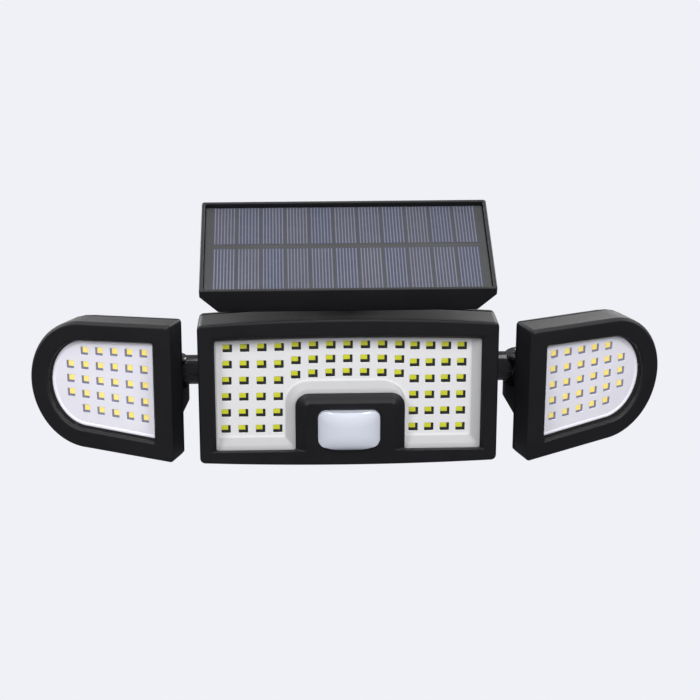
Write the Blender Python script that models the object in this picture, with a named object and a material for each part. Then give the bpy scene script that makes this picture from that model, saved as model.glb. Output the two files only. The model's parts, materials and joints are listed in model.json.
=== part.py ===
"""Solar flood light: a main lamp head with a motion sensor, two side heads on arms and a solar panel.

Metres, +Z up. The origin is the middle of the wall plate's back face, so the wall is the plane y = 0 and the
lamp looks along -Y. Sizes below are in millimetres, and MM turns them into metres.
"""

import math

import bmesh
import bpy
from mathutils import Matrix

MM = 0.001
GAP = 0.3  # between touching pieces

# Main head: a bezel and a back housing, bowed along the top and the bottom edge.
FACE_Y = -84.0  # front face, measured from the wall
HEAD_HALF_W = 70.0
HEAD_HALF_H = 34.6
CROWN = 2.3  # rise of the top edge at its middle
SOLE = 1.5  # drop of the bottom edge at its middle
CORNER_R = 2.5
WALL = 2.4
LIP = 2.8  # thickness of the bezel's front
BEZEL_BACK_Y = -67.0
FLANGE_T = 2.2
HOUSING_HALF_W = 60.5
HOUSING_HALF_H = 28.5
HOUSING_BACK_Y = -43.0

# Window in the main bezel, with the sensor hood standing in its bottom edge.
WINDOW_HALF_W = 62.2
WINDOW_TOP = 26.2
WINDOW_BOTTOM = -28.8
WINDOW_CROWN = 1.1
CHAMFER = 1.9
HOOD_LEFT = -24.9
HOOD_RIGHT = 26.6
HOOD_TOP = -0.5
HOOD_R = 6.5
HOOD_SLOPE = 4.6

# Main reflector: a white tray behind the window. Its floor is framed by slopes.
TRAY_RIM_Y = -79.2
TRAY_FLOOR_Y = -76.6
TRAY_BACK_Y = -75.4
BOARD_T = 1.4
LED_H = 0.9
LED_SIZE = (3.4, 2.7)
LED_HOLE = (4.5, 3.7)
LED_SHIFT = (-0.2, 0.2)  # LED against the middle of its hole
MAIN_SCREWS = (64.6, 29.4)  # case screws, out from the middle
BUTTON = (46.0, -14.0)  # mode button on the back
CELL_Y = -56.0  # battery cells

# Motion sensor.
PIR_X = 0.3
PIR_Z = -17.4
PIR_HALF_W = 14.7
PIR_HALF_H = 9.4
PIR_SOLE = 1.6
PIR_R = 3.6
PIR_BULGE = 5.6

# Side heads, in a frame with its origin on the yaw hinge, +X outwards and -Y to the front.
REST = {"left": (22.5, 3.7), "right": (26.1, -2.3)}  # degrees turned outwards, and leaned back
HINGE_X = 84.0
HINGE_Y = -55.6
SIDE_INNER = -13.6
SIDE_ARC_X = 31.5  # where the straight edges end
SIDE_END_R = 28.5
SIDE_HALF_H = 33.4  # at the inner edge
SIDE_ARC_H = 31.2  # at the start of the round end
SIDE_FRONT = -29.8
SIDE_BACK = -13.9
SIDE_CORNER_R = 1.6
SIDE_FRAME = (9.1, 9.5, 9.6)  # frame width on the inner edge, the long edges and the round end
SIDE_LIP = 1.8
SIDE_WALL = 2.2
COVER_T = 2.0
SIDE_LED = 2.9
SIDE_HOLE = 3.9
SIDE_LED_SHIFT = (-0.15, 0.15)
SIDE_SCREW_IN = 6.3  # case screws, in from the outline

# Arms between the main head and the side heads.
ARM_Z = 2.7
ARM_R = 7.0
SPIGOT_R = 4.7
COLLAR_R = 7.5
EYE_R = 8.6
EYE_Z = (-4.5, 9.4)
EAR_Z = (-12.2, -4.8)
PIN_R = 1.9

# Wall plate and its tilt axis.
TILT_Y = -26.0
PLATE_HALF = (32.0, 26.0)
PLATE_T = 3.0
WALL_HOLE_X = 24.0

# Solar panel, in a frame with its origin on the pivot, +Y up the slope and +Z out of the cells.
PANEL_TILT = 21.0
PIVOT_Y = -45.3
PIVOT_Z = 44.3
PANEL_HALF_W = 68.5
PANEL_FRONT, PANEL_BACK = -35.0, 33.0
RIM_Z = 21.5
RIM_W = 1.7
RIM_H = 4.0
TUB_BOTTOM = 8.2
TUB_INSET = (7.3, 0.8, 7.3)  # sides, front and back, at the tub's bottom
LAMINATE = (18.4, 19.5)

FINISHES = {  # colour, roughness, metallic
    "black_plastic": ((0.012, 0.012, 0.014), 0.45, 0.0),
    "white_reflector": ((0.82, 0.82, 0.84), 0.35, 0.0),
    "clear_plastic": ((0.95, 0.96, 0.98), 0.08, 0.0),
    "led_phosphor": ((0.85, 0.78, 0.12), 0.40, 0.0),
    "sensor_plastic": ((0.70, 0.72, 0.78), 0.30, 0.0),
    "circuit_board": ((0.02, 0.10, 0.04), 0.50, 0.0),
    "rubber": ((0.02, 0.02, 0.02), 0.80, 0.0),
    "steel": ((0.55, 0.55, 0.56), 0.35, 1.0),
    "solar_cells": ((0.07, 0.08, 0.16), 0.20, 0.0),
    "cell_wrap": ((0.05, 0.22, 0.55), 0.35, 0.0),
}


def clear_scene():
    for obj in list(bpy.data.objects):
        bpy.data.objects.remove(obj, do_unlink=True)


def finish(name):
    """The named finish as a material."""
    found = bpy.data.materials.get(name)
    if found:
        return found
    colour, roughness, metallic = FINISHES[name]
    made = bpy.data.materials.new(name)
    made.use_nodes = True
    shader = made.node_tree.nodes["Principled BSDF"]
    shader.inputs["Base Color"].default_value = (*colour, 1.0)
    shader.inputs["Roughness"].default_value = roughness
    shader.inputs["Metallic"].default_value = metallic
    return made


# Outlines are lists of (a, b) points, counterclockwise. ring() stands one on an axis.


def arc(centre, radii, start, end, steps):
    """Points on an ellipse's arc from start to end, in degrees, both ends included."""
    angles = [math.radians(start + (end - start) * i / steps) for i in range(steps + 1)]
    return [(centre[0] + radii[0] * math.cos(t), centre[1] + radii[1] * math.sin(t)) for t in angles]


def circle(radius, centre=(0.0, 0.0), sides=20):
    return arc(centre, (radius, radius), 0, 360 - 360 / sides, sides - 1)


def box(a0, a1, b0, b1):
    return [(a0, b0), (a1, b0), (a1, b1), (a0, b1)]


def bowed(half_w, half_h, crown, sole, radius, centre=(0.0, 0.0), turn=3, across=8):
    """Rounded rectangle whose top rises by crown and whose bottom drops by sole in the middle."""
    inner_w, inner_h = half_w - radius, half_h - radius
    corner = (radius, radius)
    along = [inner_w * (1 - 2 * i / across) for i in range(1, across)]
    points = arc((inner_w, -inner_h), corner, -90, 0, turn)
    points += arc((inner_w, inner_h), corner, 0, 90, turn)
    points += [(x, half_h + crown * (1 - (x / inner_w) ** 2)) for x in along]
    points += arc((-inner_w, inner_h), corner, 90, 180, turn)
    points += arc((-inner_w, -inner_h), corner, 180, 270, turn)
    points += [(-x, -half_h - sole * (1 - (x / inner_w) ** 2)) for x in along]
    return [(x + centre[0], z + centre[1]) for x, z in points]


def head_outline(inset=0.0):
    radius = max(CORNER_R - inset, 1.0)
    return bowed(HEAD_HALF_W - inset, HEAD_HALF_H - inset, CROWN, SOLE, radius)


def housing_outline(inset=0.0):
    return bowed(HOUSING_HALF_W - inset, HOUSING_HALF_H - inset, 0.0, 0.0, 4.0)


def window_outline(left=0.0, right=0.0, top=0.0, bottom=0.0, hood=(0.0, 0.0, 0.0), across=8, turn=5):
    """The window's outline. Each side moves out by its amount, and so do the hood's left, right and top."""
    x0, x1 = -WINDOW_HALF_W - left, WINDOW_HALF_W + right
    z0, z1 = WINDOW_BOTTOM - bottom, WINDOW_TOP + top
    h0, h1, h_top = HOOD_LEFT - hood[0], HOOD_RIGHT + hood[1], HOOD_TOP + hood[2]
    radius = HOOD_R + hood[2]
    middle, half = (x0 + x1) / 2, (x1 - x0) / 2
    points = [(h1, z0), (x1, z0)]
    for i in range(across + 1):
        x = x1 + (x0 - x1) * i / across
        points.append((x, z1 + WINDOW_CROWN * (1 - ((x - middle) / half) ** 2)))
    points += [(x0, z0), (h0, z0)]
    points += arc((h0 + radius, h_top - radius), (radius, radius), 180, 90, turn)
    points += arc((h1 - radius, h_top - radius), (radius, radius), 90, 0, turn)
    return points


def side_outline(inner=0.0, edge=0.0, end=0.0, radius=SIDE_CORNER_R, turn=3, steps=18):
    """A side head's outline, set in by inner, edge and end: straight inner edge, round outer end."""
    x0, high = SIDE_INNER + inner, SIDE_HALF_H - edge
    points = arc((x0 + radius, -high + radius), (radius, radius), 180, 270, turn)
    points += arc((SIDE_ARC_X, 0.0), (SIDE_END_R - end, SIDE_ARC_H - edge), -90, 90, steps)
    points += arc((x0 + radius, high - radius), (radius, radius), 90, 180, turn)
    return points


def side_even(inset, radius=SIDE_CORNER_R):
    return side_outline(inset, inset, inset, radius)


def panel_outline(sides=0.0, front=0.0, back=0.0, radius=1.2):
    half_w = PANEL_HALF_W - sides
    y0, y1 = PANEL_FRONT + front, PANEL_BACK - back
    return bowed(half_w, (y1 - y0) / 2, 0.0, 0.0, radius, (0.0, (y0 + y1) / 2), 2, 2)


def ring(outline, level, axis="Y"):
    """An outline as points in space, at level along axis."""
    if axis == "X":
        return [(level, a, b) for a, b in outline]
    if axis == "Y":
        return [(a, level, b) for a, b in outline]
    return [(a, b, level) for a, b in outline]


def turned(profile, axis, centre=(0.0, 0.0), sides=20):
    """Rings of a turned piece. Its profile is (level, radius) points along the axis."""
    return [ring(circle(radius, centre, sides), level, axis) for level, radius in profile]


def loft(name, rings, look="black_plastic", side=1, looped=False):
    """A solid through rings of equal counts, capped at both ends, or closed on itself when looped.

    With side -1 it is mirrored in X.
    """
    mesh = bpy.data.meshes.new(name)
    bm = bmesh.new()
    loops = [[bm.verts.new((x * side * MM, y * MM, z * MM)) for x, y, z in one] for one in rings]
    pairs = list(zip(loops, loops[1:] + loops[:1]))
    if not looped:
        pairs.pop()
        bm.faces.new(loops[0])
        bm.faces.new(loops[-1])
    for low, high in pairs:
        for i in range(len(low)):
            j = (i + 1) % len(low)
            bm.faces.new((low[i], low[j], high[j], high[i]))
    bmesh.ops.recalc_face_normals(bm, faces=bm.faces)
    bm.to_mesh(mesh)
    bm.free()
    return put(name, mesh, look)


def lathe(name, profile, axis, centre=(0.0, 0.0), sides=20, look="black_plastic", side=1, looped=False):
    """A turned solid."""
    return loft(name, turned(profile, axis, centre, sides), look, side, looped)


def rod(name, radius, start, end, axis, centre=(0.0, 0.0), sides=20, side=1):
    """A straight round bar, mostly used as a drill."""
    return lathe(name, [(start, radius), (end, radius)], axis, centre, sides, side=side)


def blocks(name, boxes, look="black_plastic", side=1):
    """Separate boxes in one mesh, each (x0, x1, y0, y1, z0, z1)."""
    mesh = bpy.data.meshes.new(name)
    bm = bmesh.new()
    for x0, x1, y0, y1, z0, z1 in boxes:
        size = Matrix.Diagonal(((x1 - x0) * MM, (y1 - y0) * MM, (z1 - z0) * MM, 1.0))
        place = Matrix.Translation(((x0 + x1) / 2 * side * MM, (y0 + y1) / 2 * MM, (z0 + z1) / 2 * MM))
        bmesh.ops.create_cube(bm, size=1.0, matrix=place @ size)
    bm.to_mesh(mesh)
    bm.free()
    return put(name, mesh, look)


def put(name, mesh, look):
    obj = bpy.data.objects.new(name, mesh)
    bpy.context.scene.collection.objects.link(obj)
    mesh.materials.append(finish(look))
    mesh.shade_smooth()
    mesh.set_sharp_from_angle(angle=math.radians(35))
    return obj


def combine(obj, operation, *tools):
    """Cuts the tools from the object, or joins them to it."""
    for tool in tools:
        tool.hide_render = True
        tool.display_type = "WIRE"
        tool.parent = obj
        modifier = obj.modifiers.new(tool.name, "BOOLEAN")
        modifier.operation = operation
        modifier.object = tool
    return obj


def cut(obj, *tools):
    return combine(obj, "DIFFERENCE", *tools)


def join(obj, *tools):
    return combine(obj, "UNION", *tools)


def frame_at(name, place, axis="Z", turn=0.0, parent=None):
    """An empty on a joint's axis, turned about one axis. Its place is in the parent's frame."""
    empty = bpy.data.objects.new(name, None)
    bpy.context.scene.collection.objects.link(empty)
    empty.parent = parent
    spin = Matrix.Rotation(math.radians(turn), 4, axis)
    empty.matrix_basis = Matrix.Translation([c * MM for c in place]) @ spin
    bpy.context.view_layer.update()
    return empty


def carry(empty, pieces, in_place=False):
    """Hangs the pieces on the empty. They are modelled in its frame, or where they stand if in_place."""
    for piece in pieces:
        piece.parent = empty
        if in_place:
            piece.matrix_parent_inverse = empty.matrix_world.inverted()


def screw_rings(seat, length, head_r, head_t, shank_r, axis, centre, way=1):
    """A pan-head screw: the head stands on seat and the shank runs length the other way. way turns it."""
    top = seat + way * head_t
    profile = [(top - way * head_t * 0.5, head_r * 0.45), (top, head_r * 0.45), (top, head_r * 0.8)]
    profile += [(seat + way * head_t * 0.5, head_r), (seat, head_r)]
    profile += [(seat, shank_r), (seat - way * length, shank_r)]
    return turned(profile, axis, centre, 10)


def nut_rings(start, end, across_r, bore_r, axis, centre):
    """A hexagon nut, to be looped."""
    flats = [across_r * (math.cos(math.radians(30)) if i % 2 else 1.0) for i in range(12)]
    hexagon = [(centre[0] + a * r, centre[1] + b * r) for (a, b), r in zip(circle(1.0, sides=12), flats)]
    bore = circle(bore_r, centre, 12)
    outlines = ((bore, start), (hexagon, start), (hexagon, end), (bore, end))
    return [ring(outline, level, axis) for outline, level in outlines]


# ---- Wall bracket ----


def eye_plate(x0, x1, foot, axle, radius, half_foot):
    """Rings of a flat ear along X, from a foot to a round end about the axle, both given as (y, z)."""
    reach = 1 if axle[0] > foot[0] else -1
    start = -90 if reach > 0 else 90
    outline = arc(axle, (radius, radius), start, start + 180, 10)
    outline += [(foot[0], foot[1] + reach * half_foot), (foot[0], foot[1] - reach * half_foot)]
    return [ring(outline, x0, "X"), ring(outline, x1, "X")]


def build_bracket():
    plate_outline = bowed(PLATE_HALF[0], PLATE_HALF[1], 0.0, 0.0, 6.0)
    plate = loft("wall_plate", [ring(plate_outline, 0.0), ring(plate_outline, -PLATE_T)])
    axle = (TILT_Y, 0.0)
    ears = [
        loft(f"ear_{n}", eye_plate(x0, x0 + 3.6, (-2.0, 0.0), axle, 9.0, 13.0))
        for n, x0 in (("left", -15.6), ("right", 12.0))
    ]
    bore = rod("bracket_bore", 2.8, -30, 30, "X", axle)
    countersunk = [(-4, 4.2), (-PLATE_T + 1.6, 2.5), (1, 2.5)]
    holes = [
        lathe(f"wall_hole_{n}", countersunk, "Y", (x, 0.0))
        for n, x in (("left", -WALL_HOLE_X), ("right", WALL_HOLE_X))
    ]
    join(plate, *ears)
    cut(plate, bore, *holes)
    bolt = loft("tilt_bolt", screw_rings(-15.9, 36.2, 4.6, 3.2, 2.5, "X", axle, -1), "steel")
    nut = loft("tilt_nut", nut_rings(15.9, 20.0, 4.7, 2.8, "X", axle), "steel", looped=True)
    return [plate, bolt, nut]


# ---- Main head ----


def main_led_places():
    """Middles of the holes in the main reflector: two side groups, and a middle one over the hood."""
    rows, pitch_z, first_z = 6, 8.1, 20.7
    left = [-56.3 + 8.07 * i for i in range(4)]
    middle = [-24.1 + 8.07 * i for i in range(7)]
    right = [31.4 + 7.37 * i for i in range(4)]

    def lean(x, row):
        return x + row * (0.0019 * x - 0.165)

    places = []
    for row in range(rows):
        for x in left + right:
            bow = 0.6 * (1 - (x / 56.3) ** 2) if row == 0 else 0.0
            places.append((lean(x, row), first_z - pitch_z * row + bow))
    for row in range(3):
        for x in middle:
            sag = (0.3, 0.7, 1.0)[row] * (x / 24.2) ** 2
            places.append((lean(x, row), 21.9 - 6.85 * row - sag))
    return places


def around(places, size, y0, y1, shift=(0.0, 0.0)):
    """Boxes of one size about places."""
    w, h = size[0] / 2, size[1] / 2
    middles = [(x + shift[0], z + shift[1]) for x, z in places]
    return [(x - w, x + w, y0, y1, z - h, z + h) for x, z in middles]


def build_main_bezel():
    back = head_outline(0.5)
    rings = [ring(back, BEZEL_BACK_Y), ring(head_outline(), FACE_Y + 1.6), ring(head_outline(1.5), FACE_Y)]
    bezel = loft("main_bezel", rings)
    cavity = head_outline(WALL)
    hollow = loft("main_hollow", [ring(cavity, BEZEL_BACK_Y + 1), ring(cavity, FACE_Y + LIP)])
    over = 1.0  # how far the cutter stands out of the face
    wide = CHAMFER * (1 + over / 1.6)
    steep = HOOD_SLOPE * (1 + over / LIP)
    window = loft(
        "main_window",
        [
            ring(window_outline(wide, wide, wide, wide, (-steep, -steep, -steep * 0.9)), FACE_Y - over),
            ring(window_outline(hood=(-0.5, -0.5, -0.5)), FACE_Y + LIP - 1.0),
            ring(window_outline(), FACE_Y + LIP + 1),
        ],
    )
    pir = bowed(PIR_HALF_W + GAP, PIR_HALF_H + GAP, 0.0, PIR_SOLE, PIR_R, (PIR_X, PIR_Z))
    pir_hole = loft("pir_hole", [ring(pir, FACE_Y - 1), ring(pir, FACE_Y + LIP + 1)])
    bosses, pilots = [], []
    for n, place in enumerate(main_screw_places()):
        bosses.append(rod(f"main_boss_{n}", 3.7, BEZEL_BACK_Y, BEZEL_BACK_Y - 5.6, "Y", place, 12))
        pilots.append(rod(f"main_pilot_{n}", 1.5, BEZEL_BACK_Y + 1, BEZEL_BACK_Y - 4.6, "Y", place, 10))
    cut(bezel, hollow, window, pir_hole)
    join(bezel, *bosses)
    cut(bezel, *pilots)
    return bezel


def main_screw_places():
    x, z = MAIN_SCREWS
    return [(a, b) for a in (-x, x) for b in (-z, z)]


def build_main_lens():
    edge = window_outline(2.6, 2.6, 2.6, 2.0, (-2.6, -2.6, -2.6))
    front = FACE_Y + LIP + GAP
    return loft("main_lens", [ring(edge, front), ring(edge, front + 1.2)], "clear_plastic")


def build_main_reflector():
    floor = window_outline(-0.6, -4.4, -0.6, -4.8, (4.6, 0.5, 4.6))
    rim = window_outline(0.3, 0.3, 0.3, 0.3, (-0.3, -0.3, -0.3))
    outer = window_outline(2.4, 2.4, 2.4, 1.8, (-2.4, -2.4, -2.4))
    rings = [ring(floor, TRAY_FLOOR_Y), ring(rim, TRAY_RIM_Y)]
    rings += [ring(outer, TRAY_RIM_Y), ring(outer, TRAY_BACK_Y)]
    tray = loft("main_reflector", rings, "white_reflector")
    holes = around(main_led_places(), LED_HOLE, TRAY_FLOOR_Y - 1, TRAY_BACK_Y + 1)
    return cut(tray, blocks("main_led_holes", holes, "white_reflector"))


def build_main_board():
    front = TRAY_BACK_Y + GAP
    outer = window_outline(2.4, 2.4, 2.4, 1.8, (-2.4, -2.4, -2.4))
    board = loft("main_led_board", [ring(outer, front), ring(outer, front + BOARD_T)], "led_phosphor")
    leds = around(main_led_places(), LED_SIZE, front - LED_H, front + 0.3, LED_SHIFT)
    return join(board, blocks("main_leds", leds, "led_phosphor"))


def build_main_gasket():
    y0, y1 = BEZEL_BACK_Y + GAP, BEZEL_BACK_Y + 1.0
    outer, inner = head_outline(0.8), head_outline(WALL + 0.1)
    rings = [ring(outer, y0), ring(outer, y1), ring(inner, y1), ring(inner, y0)]
    return loft("main_gasket", rings, "rubber", looped=True)


def build_main_housing():
    front = BEZEL_BACK_Y + 1.0 + GAP
    flange_back = front + FLANGE_T
    inner = housing_outline(WALL)
    rings = [
        ring(inner, HOUSING_BACK_Y - WALL),
        ring(inner, front),
        ring(head_outline(0.5), front),
        ring(head_outline(0.5), flange_back - 0.8),
        ring(head_outline(1.3), flange_back),
        ring(housing_outline(), flange_back),
        ring(housing_outline(0.8), HOUSING_BACK_Y - 1.2),
        ring(housing_outline(2.2), HOUSING_BACK_Y),
    ]
    housing = loft("main_back_housing", rings)
    lug = eye_plate(-11.7, 11.7, (HOUSING_BACK_Y - 1, 0.0), (TILT_Y, 0.0), 8.5, 12.0)
    tilt_lug = loft("tilt_lug", lug)
    tilt_bore = rod("tilt_bore", 2.8, -30, 30, "X", (TILT_Y, 0.0))
    post = arc((PIVOT_Y, PIVOT_Z), (5.4, 5.4), 0, 180, 10)
    post += [(PIVOT_Y - 11.0, HOUSING_HALF_H - 1), (PIVOT_Y + 2.0, HOUSING_HALF_H - 1)]
    posts = [
        loft(f"panel_post_{n}", [ring(post, x0, "X"), ring(post, x0 + 3.6, "X")])
        for n, x0 in (("left", -10.6), ("right", 7.0))
    ]
    post_bore = rod("post_bore", 2.3, -20, 20, "X", (PIVOT_Y, PIVOT_Z))
    arm_bore = rod("arm_bore", SPIGOT_R + GAP, -80, 80, "X", (HINGE_Y, ARM_Z))
    button_bore = rod("button_bore", 5.0, HOUSING_BACK_Y - 6, HOUSING_BACK_Y + 3, "Y", BUTTON)
    screw_holes = [
        rod(f"flange_hole_{n}", 1.6, front - 1, flange_back + 1, "Y", place, 10)
        for n, place in enumerate(main_screw_places())
    ]
    join(housing, tilt_lug, *posts)
    cut(housing, tilt_bore, post_bore, arm_bore, button_bore, *screw_holes)
    return housing


def build_button():
    out = HOUSING_BACK_Y + 2.4
    inside = HOUSING_BACK_Y - WALL - GAP - 0.6
    profile = [(out, 3.6), (out - 0.7, 4.6), (inside, 4.6), (inside, 6.4), (inside - 1.4, 6.4)]
    profile += [(inside - 1.4, 2.0), (inside - 3.4, 2.0)]
    button = lathe("mode_button", profile, "Y", BUTTON, look="rubber")
    seal_y = (HOUSING_BACK_Y + GAP, HOUSING_BACK_Y + 1.3)
    seal = [(seal_y[0], 5.0), (seal_y[0], 7.6), (seal_y[1] - 0.3, 7.6), (seal_y[1], 7.2), (seal_y[1], 5.0)]
    return button, lathe("button_seal", seal, "Y", BUTTON, look="rubber", looped=True)


def build_pir():
    """The sensor's domed lens, a hollow shell with a flange behind the bezel, and the sensor behind it."""
    centre = (PIR_X, PIR_Z)
    flange_y = FACE_Y + LIP + GAP

    def section(inset, y, thick=0.0):
        half_w, half_h = PIR_HALF_W - inset - thick, PIR_HALF_H - 0.8 * inset - thick
        radius = max(PIR_R - 0.3 * inset, 1.2)
        return ring(bowed(half_w, half_h, 0.0, PIR_SOLE, radius, centre, 2, 6), y)

    angles = [math.radians(a) for a in (0, 18, 36, 54, 72)]
    dome = [((1 - math.cos(t)) * 9.5, FACE_Y + 0.4 - PIR_BULGE * math.sin(t)) for t in angles]
    thick = 1.0
    inner = [section(inset, y + thick * 0.8, thick) for inset, y in reversed(dome)]
    outer = [section(inset, y) for inset, y in dome]
    foot = [section(0.0, flange_y + 1.2, thick), section(-1.4, flange_y + 1.2), section(-1.4, flange_y)]
    lens = loft("pir_lens", inner + foot + [section(0.0, flange_y)] + outer, "sensor_plastic")
    plate_y = TRAY_BACK_Y + 2.0
    square = box(-12, 12, -27, -8)
    plate = loft("pir_sensor", [ring(square, plate_y), ring(square, plate_y + 1.2)], "circuit_board")
    can_profile = [(plate_y + 0.5, 4.6), (plate_y - 4.0, 4.6), (plate_y - 4.3, 4.3)]
    can = lathe("pir_can", can_profile, "Y", (0.0, PIR_Z), look="steel")
    return lens, join(plate, can)


def build_electronics():
    y = -70.6
    outline = box(-46, 46, -22, 22)
    board = loft("control_board", [ring(outline, y), ring(outline, y + 1.6)], "circuit_board")
    chips = [(-40, -30, 3.4, 4, 16), (-22, -14, 2.8, -6, 2), (10, 16, 3.4, 8, 14)]
    chips += [(24, 34, 3.0, -16, -10), (-6, 4, 3.2, -18, -12), (34, 42, 3.6, 2, 8)]
    chip_boxes = [(x0, x1, y + 1.2, y + high, z0, z1) for x0, x1, high, z0, z1 in chips]
    join(board, blocks("control_parts", chip_boxes, "circuit_board"))
    cells = []
    for n, z in (("1", 12.4), ("2", -7.4)):
        profile = [(-33.0, 2.8), (-32.4, 2.8), (-32.4, 9.1), (32.4, 9.1)]
        cells.append(lathe(f"battery_cell_{n}", profile, "X", (CELL_Y, z), 16, "cell_wrap"))
    back = HOUSING_BACK_Y - WALL - GAP
    front = CELL_Y - 6.0
    rails = [(-36.0, back), (-36.0, front), (-34.0, front), (-34.0, back - 0.9)]
    rails += [(34.0, back - 0.9), (34.0, front), (36.0, front), (36.0, back)]
    holder = loft("battery_holder", [ring(rails, -18.0, "Z"), ring(rails, 23.0, "Z")])
    return [board, *cells, holder]


def build_main_head():
    pieces = [build_main_bezel(), build_main_lens(), build_main_reflector(), build_main_board()]
    pieces += [build_main_gasket(), build_main_housing(), *build_pir(), *build_electronics()]
    seat = BEZEL_BACK_Y + 1.0 + GAP + FLANGE_T + GAP
    for n, place in enumerate(main_screw_places(), 1):
        pieces.append(loft(f"case_screw_{n}", screw_rings(seat, 7.6, 2.7, 1.8, 1.2, "Y", place), "steel"))
    axle = (PIVOT_Y, PIVOT_Z)
    pieces.append(loft("panel_pivot_bolt", screw_rings(-10.9, 25.2, 3.8, 2.6, 2.0, "X", axle, -1), "steel"))
    pieces.append(loft("panel_pivot_nut", nut_rings(10.9, 14.1, 4.0, 2.3, "X", axle), "steel", looped=True))
    button, seal = build_button()
    return pieces + [seal], button


# ---- Arms and side heads ----


def build_arm(name, side):
    """The jointed arm, in the frame of its swivel axis: a spigot, a collar, a shaft and an upright eye."""
    wall = HOUSING_HALF_W + GAP
    profile = [(wall - 9.5, SPIGOT_R), (wall, SPIGOT_R), (wall, COLLAR_R), (wall + 2.2, COLLAR_R)]
    profile += [(wall + 2.2, ARM_R), (HINGE_X - 3, ARM_R)]
    arm = lathe(f"{name}_arm", profile, "X", side=side)
    low, high = EYE_Z[0] - ARM_Z, EYE_Z[1] - ARM_Z
    upright = (HINGE_X, 0.0)
    eye_profile = [(low, EYE_R), (high - 0.9, EYE_R), (high, EYE_R - 0.9)]
    eye = lathe(f"{name}_eye", eye_profile, "Z", upright, side=side)
    cut(join(arm, eye), rod(f"{name}_eye_bore", 2.2, low - 2, high + 2, "Z", upright, side=side))
    nut_x = (wall - WALL - GAP - 3.6, wall - WALL - GAP - 0.3)
    nut = [(nut_x[0], SPIGOT_R + GAP), (nut_x[0], 7.4), (nut_x[1], 7.4), (nut_x[1], SPIGOT_R + GAP)]
    retainer = lathe(f"{name}_arm_retainer", nut, "X", sides=16, look="steel", side=side, looped=True)
    seat = high + GAP
    length = seat - (EAR_Z[0] - ARM_Z) + 3.4
    pin = screw_rings(seat, length, 3.9, 2.0, PIN_R, "Z", upright)
    return [arm, retainer, loft(f"{name}_hinge_screw", pin, "steel", side)]


def side_led_places():
    """Middles of the holes in a side reflector: six columns whose rows close up towards the round end."""
    places = []
    for column in range(6):
        x = SIDE_INNER + 15.4 + 7.7 * column
        pitch = 7.95 - 0.21 * column
        rows = (-1, 0, 1) if column == 5 else (-2, -1, 0, 1, 2)
        places += [(x, 1.6 + pitch * row) for row in rows]
    return places


def side_screw_places():
    near, far = SIDE_INNER + SIDE_SCREW_IN, SIDE_ARC_X + SIDE_END_R - SIDE_SCREW_IN
    high = SIDE_HALF_H - SIDE_SCREW_IN
    return [(near, high), (near, -high), (far, 0.0)]


def build_side_bezel(name, side):
    back = SIDE_BACK - COVER_T - GAP
    lip_back = SIDE_FRONT + SIDE_LIP
    inner, edge, end = SIDE_FRAME
    rings = [
        ring(side_even(0.4), back),
        ring(side_even(0.0), SIDE_FRONT + 1.5),
        ring(side_even(1.3, 1.0), SIDE_FRONT),
        ring(side_outline(inner - 0.9, edge - 0.9, end - 0.9, 1.0), SIDE_FRONT),
        ring(side_outline(inner, edge, end, 1.0), SIDE_FRONT + 0.9),
        ring(side_outline(inner, edge, end, 1.0), lip_back),
        ring(side_even(SIDE_WALL, 1.0), lip_back),
        ring(side_even(SIDE_WALL, 1.0), back),
    ]
    bezel = loft(f"{name}_bezel", rings, side=side, looped=True)
    bosses, pilots = [], []
    for n, place in enumerate(side_screw_places()):
        bosses.append(rod(f"{name}_boss_{n}", 3.4, back, back - 5.6, "Y", place, 12, side))
        pilots.append(rod(f"{name}_pilot_{n}", 1.5, back + 1, back - 4.6, "Y", place, 10, side))
    webs = build_side_webs(name, side, back)
    return cut(join(bezel, *webs, *bosses), *pilots)


def build_side_webs(name, side, back):
    """Webs that tie the screw bosses to the bezel's wall."""
    webs = []
    for n, (x, z) in enumerate(side_screw_places()):
        reach = (x, x + SIDE_SCREW_IN - 1.0) if z == 0.0 else (x - SIDE_SCREW_IN + 1.0, x)
        webs.append(blocks(f"{name}_web_{n}", [(*reach, back - 5.6, back, z - 1.0, z + 1.0)], side=side))
    return webs


def build_side_optics(name, side):
    """Clear lens, white reflector and LED board of a side head."""
    inner, edge, end = SIDE_FRAME
    front = SIDE_FRONT + SIDE_LIP + GAP
    lens_outline = side_outline(inner - 3.5, edge - 4.0, end - 4.0, 1.0)
    lens_rings = [ring(lens_outline, front), ring(lens_outline, front + 1.0)]
    lens = loft(f"{name}_lens", lens_rings, "clear_plastic", side)
    rim_y = front + 1.0 + GAP
    floor_y = rim_y + 0.8
    tray_back = floor_y + 1.0
    outer = side_outline(inner - 3.0, edge - 3.5, end - 3.5, 1.0)
    rings = [
        ring(side_outline(inner + 0.9, edge + 0.9, end + 0.9, 1.0), floor_y),
        ring(side_outline(inner - 0.3, edge - 0.3, end - 0.3, 1.0), rim_y),
        ring(outer, rim_y),
        ring(outer, tray_back),
    ]
    tray = loft(f"{name}_reflector", rings, "white_reflector", side)
    places = side_led_places()
    holes = around(places, (SIDE_HOLE, SIDE_HOLE), floor_y - 1, tray_back + 1)
    cut(tray, blocks(f"{name}_led_holes", holes, "white_reflector", side))
    board_y = tray_back + GAP
    board_rings = [ring(outer, board_y), ring(outer, board_y + BOARD_T)]
    board = loft(f"{name}_led_board", board_rings, "led_phosphor", side)
    leds = around(places, (SIDE_LED, SIDE_LED), board_y - LED_H, board_y + 0.3, SIDE_LED_SHIFT)
    return [lens, tray, join(board, blocks(f"{name}_leds", leds, "led_phosphor", side))]


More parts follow.
